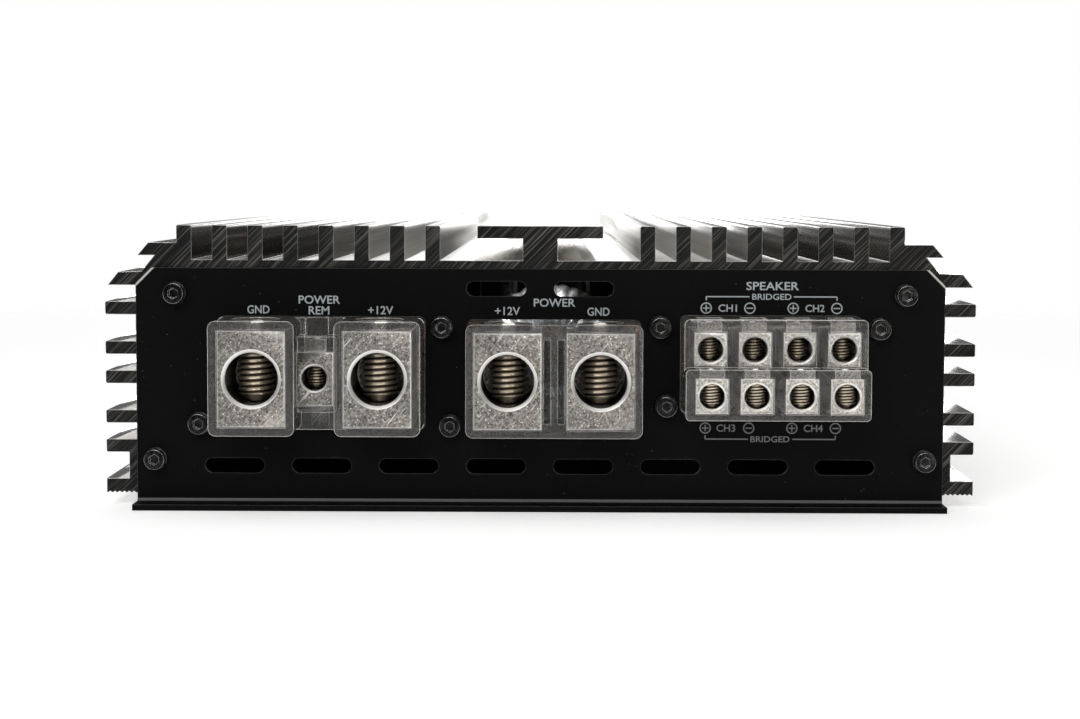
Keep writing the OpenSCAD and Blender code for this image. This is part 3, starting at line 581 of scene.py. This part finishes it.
def dress_nodes():
    """Gives every CAD node its material and its rounded edges."""
    # The black steel's edge colour is a painted highlight.
    black_steel = metal_paint(
        "black_steel_paint", (0.010,) * 3, (0.024,) * 3, (0.20, 0.30), edge=(0.42,) * 3)
    clear = clear_paint()
    board = board_paint()
    lugs = ["ground_terminal_a", "battery_terminal_a", "battery_terminal_b", "ground_terminal_b"]
    speaker_tones = (0.16, 0.155, 0.145), (0.78, 0.76, 0.72)
    levers = ["crossover_switch_a", "crossover_switch_b", "input_mode_switch"]
    dark_plastic = plastic_paint("dark_plastic_paint", (0.018, 0.018, 0.019))
    looks = [
        (["heatsink"], extrusion_paint(), 0.12),
        (["power_end_panel", "input_end_panel"], powder_coat("panel_coat"), 0.22),
        (["bottom_cover"], powder_coat("cover_coat", 0.012, 0.05, 0.3), 0.2),
        (["panel_screws", "terminal_screws"], black_steel, 0.38),
        (["bottom_cover_screws"], black_steel, 0.12),
        (["lock_washers"], metal_paint("washer_paint", (0.015,) * 3, (0.04,) * 3, (0.24, 0.36)), 0.15),
        (["inner_screws", "switch_bodies"],
         metal_paint("zinc_paint", (0.42, 0.42, 0.43), (0.62, 0.62, 0.63)), 0.15),
        (["power_housing_a", "power_housing_b", "speaker_housing"], clear, 0.22),
        (lugs, nickel_paint("power_nickel", 18.6), 0.55),
        (["remote_terminal"], nickel_paint("remote_nickel", 9.9), 0.35),
        (["speaker_terminals_upper"], nickel_paint("upper_nickel", 14.4, *speaker_tones), 0.35),
        (["speaker_terminals_lower"], nickel_paint("lower_nickel", 21.0, *speaker_tones), 0.35),
        (["main_board", "input_board", "driver_cards"], board, 0.1),
        (["board_link", "rca_bodies", "level_remote_jack"], dark_plastic, 0.25),
        (["power_transistors"], plastic_paint("epoxy_paint", (0.02, 0.02, 0.022), (0.5, 0.65)), 0.3),
        (["insulator_strips"], plastic_paint("silicone_paint", (0.36, 0.37, 0.37), (0.6, 0.8)), 0.05),
        (["clamp_bars"],
         metal_paint("bar_paint", (0.60, 0.60, 0.60), (0.80, 0.80, 0.80), (0.3, 0.45), 600), 0.4),
        (["reservoir_capacitors"],
         sleeve_paint("reservoir_sleeve", (0.012, 0.012, 0.014), (0.45, 0.45, 0.42)), 0.5),
        (["filter_capacitors"], sleeve_paint("filter_sleeve", (0.012, 0.02, 0.11), (0.5, 0.5, 0.5)), 0.4),
        (["rca_shells"],
         metal_paint("jack_metal", (0.62, 0.60, 0.54), (0.80, 0.77, 0.70), (0.14, 0.26)), 0.15),
        (["rca_inserts"], insert_paint(), 0.15),
        (["potentiometers"], plastic_paint("control_blue", (0.03, 0.09, 0.26), (0.35, 0.5)), 0.2),
        (levers, plastic_paint("lever_plastic", (0.55, 0.55, 0.53)), 0.2),
        (["indicator_leds"], lamp_paint(), 0.0),
    ]
    for nodes, paint, width in looks:
        paint.put_on(*[NODES[n] for n in nodes])
        for node in nodes:
            if width:
                soften(node, width)


# ---------- pieces that stand for CAD nodes ----------


def thread_ring(radius, z, pitch, depth, count, limit):
    """One ring of a right-hand thread at height z, cut down to limit where that is smaller."""
    crest, slope = 0.05, 0.86  # as shares of half the pitch
    ring = []
    for j in range(count):
        turn = j / count
        phase = (z / pitch - turn) % 1.0
        flank = min(max((abs(2 * phase - 1) - crest) / slope, 0.0), 1.0)
        r = min(radius - depth * flank, limit)
        angle = 2 * math.pi * turn
        ring.append(Vector((r * math.cos(angle), r * math.sin(angle), z)))
    return ring


def make_set_screw(node, pitch, key, count, paint):
    """A threaded set screw with a tapered tip and a hexagon socket, in place of its CAD node.

    key is half the width across the socket's flats.
    """
    low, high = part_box(node)
    radius = (high.x - low.x) / 2
    height = high.z - low.z
    centre = Vector(((low.x + high.x) / 2, (low.y + high.y) / 2, low.z))
    taper = 0.42 * radius
    chamfer = 0.12 * radius
    depth = 0.6 * pitch
    steps_per_turn = 12
    steps = round(height / (pitch / steps_per_turn))
    rings = [circle_ring(0.30 * radius, 0, count)]
    for i in range(steps + 1):
        z = height * i / steps
        limit = radius * min(1.0, 0.36 + 0.64 * z / taper, 0.90 + 0.10 * (height - z) / chamfer)
        rings.append(thread_ring(radius, z, pitch, depth, count, limit))
    rings += [circle_ring(key * 1.06, height, count, hexagon)]
    rings += [circle_ring(key, height - 0.06 * radius, count, hexagon)]
    rings += [circle_ring(key, height - 0.9 * radius, count, hexagon)]
    rings += [circle_ring(key * 0.3, height - 1.0 * radius, count)]
    piece = ring_mesh(node + "_thread", rings, lambda p: centre + p)
    # groove: how deep a point lies in the thread; the paint turns it into painted shade.
    grooves = piece.data.attributes.new("groove", "FLOAT", "POINT")
    for vertex, value in zip(piece.data.vertices, grooves.data):
        local = vertex.co - centre
        inward = radius - math.hypot(local.x, local.y)
        threaded = taper < local.z < height - chamfer
        value.value = min(max(inward / depth, 0.0), 1.0) if threaded else 0.15
    paint.put_on(piece)
    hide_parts(node)
    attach(piece, node)


def make_set_screws():
    """M5 screws in the small blocks and M10 screws in the four large ones."""
    paint = screw_paint()
    for node in NODES:
        if node.startswith("speaker_set_screw") or node == "remote_set_screw":
            make_set_screw(node, 0.8 * MM, 1.44 * MM, 36, paint)
    for node in ("ground_set_screw_a", "battery_set_screw_a", "battery_set_screw_b", "ground_set_screw_b"):
        make_set_screw(node, 1.5 * MM, 2.9 * MM, 60, paint)


def make_knob(node, paint, mark_paint):
    """A fluted knob with a dished cap and a pale pointer line."""
    low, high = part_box(node)
    radius = (high.x - low.x) / 2
    x, z = (low.x + high.x) / 2, (low.z + high.z) / 2
    count = 144
    flutes = 18
    top = high.y - REAR_Y

    def fluted(depth):
        return lambda angle: 1 - depth * (0.5 - 0.5 * math.cos(flutes * angle)) ** 2

    shaft = 2.95 * MM
    tip = top / MM
    # Each ring's radius, its distance out from the panel in millimetres, and its shape.
    profile = [
        (shaft, -6.0, None), (shaft, 0.55, None), (radius * 0.98, 0.6, None), (radius, 0.9, None),
        (radius, 1.8, None), (radius * 0.965, 2.1, fluted(0.07)), (radius * 0.93, tip - 0.6, fluted(0.07)),
        (radius * 0.88, tip - 0.15, fluted(0.04)), (radius * 0.80, tip, None),
        (radius * 0.62, tip - 0.02, None), (radius * 0.56, tip - 0.3, None), (radius * 0.1, tip - 0.34, None),
    ]
    rings = [circle_ring(r, out * MM, count, shape) for r, out, shape in profile]
    piece = ring_mesh(node + "_grip", rings, facing_back(x, z))
    paint.put_on(piece)
    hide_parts(node)
    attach(piece, node)
    mark = LegendSheet(node + "_mark", facing_back(x, z))
    mark.bar(0, radius * 0.55, 0.7 * MM, radius * 0.72, lift=top - 0.32 * MM, thick=0.42 * MM)
    mark.finish(mark_paint, node)


def make_knobs(mark_paint):
    """The six knobs of the input end."""
    paint = plastic_paint("knob_grip_paint", (0.022, 0.022, 0.023), (0.45, 0.6))
    for node in NODES:
        if "_knob_" in node:
            make_knob(node, paint, mark_paint)


def make_winding(name, centre, axis, inner, outer, height, turns, paint):
    """A ring core under one even layer of wire."""
    across, per_turn = 28, 7
    squareness = 0.45
    along = turns * per_turn
    wire = math.pi * (inner + outer) / turns * 0.42
    mid, half = (inner + outer) / 2, (outer - inner) / 2 - wire * 0.3
    turn = Vector((0, 0, 1)).rotation_difference(Vector(axis)).to_matrix()
    points, faces = [], []
    for i in range(along):
        around = 2 * math.pi * i / along
        swell = wire * 0.5 * abs(math.sin(around * turns / 2))
        for j in range(across):
            angle = 2 * math.pi * j / across
            c, s = math.cos(angle), math.sin(angle)
            u = math.copysign(abs(c) ** squareness, c) * (half - wire * 0.3 + swell)
            v = math.copysign(abs(s) ** squareness, s) * (height / 2 - wire * 0.5 + swell)
            local = Vector(((mid + u) * math.cos(around), (mid + u) * math.sin(around), v))
            points.append(Vector(centre) + turn @ local)
            a, b = i * across, ((i + 1) % along) * across
            faces.append((a + j, b + j, b + (j + 1) % across, a + (j + 1) % across))
    piece = new_object(name, points, faces)
    smooth(piece, 60)
    paint.put_on(piece)
    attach(piece, "case")
    return piece


def make_windings():
    """Wound rings in place of the choke, the transformers and the output inductors."""
    copper = winding_paint("copper_wire", (0.30, 0.10, 0.03), (0.55, 0.23, 0.08))
    tinned = winding_paint("tinned_wire", (0.66, 0.67, 0.69), (0.90, 0.91, 0.93))
    low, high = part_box("supply_choke")
    centre = (low + high) / 2
    choke = make_winding("supply_choke_wire", centre, (0, 1, 0), 8.0 * MM, 20.6 * MM, high.y - low.y,
                         34, tinned)
    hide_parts("supply_choke")

    low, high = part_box("power_transformers")
    z = (low.z + high.z) / 2
    radius = 27 * MM
    rings = [(low.x + radius, low.y + radius), (high.x - radius, low.y + radius), (0, high.y - radius)]
    for n, (x, y) in enumerate(rings):
        piece = make_winding(f"transformer_wire_{n + 1}", (x, y, z), (0, 0, 1), 10 * MM, radius,
                             high.z - low.z, 46, copper)
        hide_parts("power_transformers")

    low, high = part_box("output_inductors")
    z = (low.z + high.z) / 2
    radius = (high.y - low.y) / 2
    first, last = low.x + radius, high.x - radius
    count = 4
    for n in range(count):
        x = first + (last - first) * n / (count - 1)
        piece = make_winding(f"output_wire_{n + 1}", (x, low.y + radius, z), (0, 0, 1), 7 * MM, radius,
                             high.z - low.z, 30, copper)
        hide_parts("output_inductors")


# ---------- printed legends ----------

INK = 0.03 * MM  # how thick the print lies on the panel
LINE = 0.33 * MM  # how wide its drawn lines are


class LegendSheet:
    """Flat printed marks on one panel, gathered into one mesh."""

    def __init__(self, name, place):
        self.name = name
        self.place = place
        self.bm = bmesh.new()

    def slab(self, outline, lift=0.0, thick=INK):
        """Adds a closed slab with a convex outline of (right, up) points."""
        low = [self.bm.verts.new(self.place((x, y, lift))) for x, y in outline]
        high = [self.bm.verts.new(self.place((x, y, lift + thick))) for x, y in outline]
        count = len(outline)
        self.bm.faces.new(high)
        self.bm.faces.new(low[::-1])
        for i in range(count):
            j = (i + 1) % count
            self.bm.faces.new((low[i], low[j], high[j], high[i]))

    def bar(self, x, y, width, height, lift=0.0, thick=INK):
        """A rectangle centred on x, y."""
        w, h = width / 2, height / 2
        self.slab([(x - w, y - h), (x + w, y - h), (x + w, y + h), (x - w, y + h)], lift, thick)

    def loop(self, x, y, radius, line, count=28):
        """A ring drawn with the given line width."""
        for i in range(count):
            a, b = 2 * math.pi * i / count, 2 * math.pi * (i + 1) / count
            outline = [(x + r * math.cos(t), y + r * math.sin(t))
                       for r, t in ((radius, a), (radius, b), (radius - line, b), (radius - line, a))]
            self.slab(outline[::-1])

    def sign(self, x, y, plus):
        """A plus or a minus in a ring."""
        radius, line = 1.55 * MM, LINE
        self.loop(x, y, radius, line)
        self.bar(x, y, radius * 1.15, line)
        if plus:
            self.bar(x, y, line, radius * 1.15, thick=INK * 1.2)

    def words(self, text, x, y, cap, width=None):
        """Plain capitals centred on x, y. cap is their height; width is the whole word's."""
        curve = bpy.data.curves.new("words", "FONT")
        curve.body = text
        curve.resolution_u = 3
        curve.offset = 0.012
        curve.extrude = 0.5
        maker = bpy.data.objects.new("words", curve)
        SCENE.collection.objects.link(maker)
        graph = bpy.context.evaluated_depsgraph_get()
        mesh = bpy.data.meshes.new_from_object(maker.evaluated_get(graph))
        bpy.data.objects.remove(maker)
        xs, ys = [v.co.x for v in mesh.vertices], [v.co.y for v in mesh.vertices]
        middle = ((min(xs) + max(xs)) / 2, (min(ys) + max(ys)) / 2)
        scale_y = cap / (max(ys) - min(ys))
        scale_x = width / (max(xs) - min(xs)) if width else scale_y
        made = {}
        for v in mesh.vertices:
            right = x + (v.co.x - middle[0]) * scale_x
            up = y + (v.co.y - middle[1]) * scale_y
            made[v.index] = self.bm.verts.new(self.place((right, up, INK * (0.5 + v.co.z))))
        for face in mesh.polygons:
            self.bm.faces.new([made[i] for i in face.vertices])
        bpy.data.meshes.remove(mesh)

    def finish(self, paint, body="case"):
        """Makes the sheet's object, which moves with body."""
        bmesh.ops.recalc_face_normals(self.bm, faces=self.bm.faces)
        mesh = bpy.data.meshes.new(self.name)
        self.bm.to_mesh(mesh)
        self.bm.free()
        piece = bpy.data.objects.new(self.name, mesh)
        SCENE.collection.objects.link(piece)
        paint.put_on(piece)
        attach(piece, body)


def speaker_row(sheet, sign_z, bracket_z, toward):
    """The signs of one speaker row and the bracket that joins the outer two."""
    signs = (44.9, 56.7, 68.4, 80.2)
    gap, tick = 6.0, 1.0
    middle = (signs[0] + signs[3]) / 2
    for n, x in enumerate(signs):
        sheet.sign(x * MM, sign_z * MM, n % 2 == 0)
    for end, inner in ((signs[0], middle - gap), (signs[3], middle + gap)):
        sheet.bar((end + inner) / 2 * MM, bracket_z * MM, abs(end - inner) * MM, LINE)
        sheet.bar(end * MM, (bracket_z + toward * tick / 2) * MM, LINE, tick * MM)


def make_power_legends(paint, faint):
    """Names of the power and speaker terminals."""
    big, middling, small = 2.25 * MM, 2.0 * MM, 1.65 * MM
    place = facing_front(0, 0.3 * MM)
    sheet = LegendSheet("power_end_legends", place)
    for text, x, z, cap, width in (
        ("GND", -76.2, 53.5, big, 6.0), ("POWER", -59.7, 56.2, big, 11.2), ("REM", -59.8, 53.3, big, 5.6),
        ("+12V", -43.1, 53.4, big, 6.8), ("+12V", -8.8, 53.3, big, 6.8), ("POWER", 3.9, 55.6, big, 11.2),
        ("GND", 15.8, 53.2, big, 6.0), ("SPEAKER", 62.8, 60.3, big, 14.2),
        ("BRIDGED", 62.6, 57.4, small, 10.6), ("CH1", 50.7, 54.3, middling, 5.0),
        ("CH2", 74.3, 54.3, middling, 5.2),
    ):
        sheet.words(text, x * MM, z * MM, cap, width * MM)
    speaker_row(sheet, 54.3, 57.4, -1)
    sheet.finish(paint)
    low = LegendSheet("lower_speaker_legends", place)
    for text, x, z, cap, width in (
        ("CH3", 50.5, 21.7, middling, 5.1), ("CH4", 74.2, 21.7, middling, 5.2),
        ("BRIDGED", 62.5, 18.7, small, 10.6),
    ):
        low.words(text, x * MM, z * MM, cap, width * MM)
    speaker_row(low, 21.7, 18.7, 1)
    low.finish(faint)


def make_input_legends(paint):
    """Names and scales of the inputs and controls."""
    sheet = LegendSheet("input_end_legends", facing_back(0, 0))
    cap, small, tiny = 2.1 * MM, 1.7 * MM, 1.3 * MM
    for text, x, z, size in (
        ("INPUT", 72, 57.6, cap), ("OUTPUT", 44, 57.6, cap), ("L", 80, 53.2, small), ("L", 64, 53.2, small),
        ("L", 44, 53.2, small), ("R", 80, 19.2, small), ("R", 64, 19.2, small), ("R", 44, 19.2, small),
        ("GAIN", 16, 53.6, small), ("HPF", -1, 53.6, small), ("LPF", -18, 53.6, small),
        ("CH1-2", -1, 57.8, cap), ("GAIN", 16, 19.4, small), ("HPF", -1, 19.4, small),
        ("LPF", -18, 19.4, small), ("CH3-4", -1, 15.9, cap), ("X-OVER", -38, 57.6, cap),
        ("LP  OFF  HP", -38, 48.8, tiny), ("LP  OFF  HP", -38, 31.8, tiny), ("MODE", -56, 57.6, cap),
        ("2CH  4CH", -56, 48.8, tiny), ("LEVEL", -56, 37.0, small), ("PWR", -84, 47, small),
        ("PROT", -84.6, 40, small),
    ):
        sheet.words(text, -x * MM, z * MM, size)
    for x in (16, -1, -18):
        for z in (45, 28):
            add_scale(sheet, -x * MM, z * MM)
    sheet.finish(paint)


def add_scale(sheet, x, y):
    """Eleven dots round a knob, 30 degrees apart."""
    spread, dot, hole = 5.9 * MM, 0.3 * MM, 0.001 * MM
    for step in range(11):
        angle = math.radians(240 - 30 * step)
        sheet.loop(x + spread * math.cos(angle), y + spread * math.sin(angle), dot, dot - hole, 8)


# ---------- putting it together ----------

add_camera()
add_room()
add_lights()
dress_nodes()
make_set_screws()
make_windings()
print_paint = plastic_paint("legend_print", (0.40, 0.44, 0.47), (0.45, 0.6), 0.004, 3000, 0.85)
faint_paint = plastic_paint("faint_print", (0.16, 0.17, 0.18), (0.45, 0.6), 0.004, 3000, 0.85)
make_knobs(print_paint)
make_power_legends(print_paint, faint_paint)
make_input_legends(print_paint)
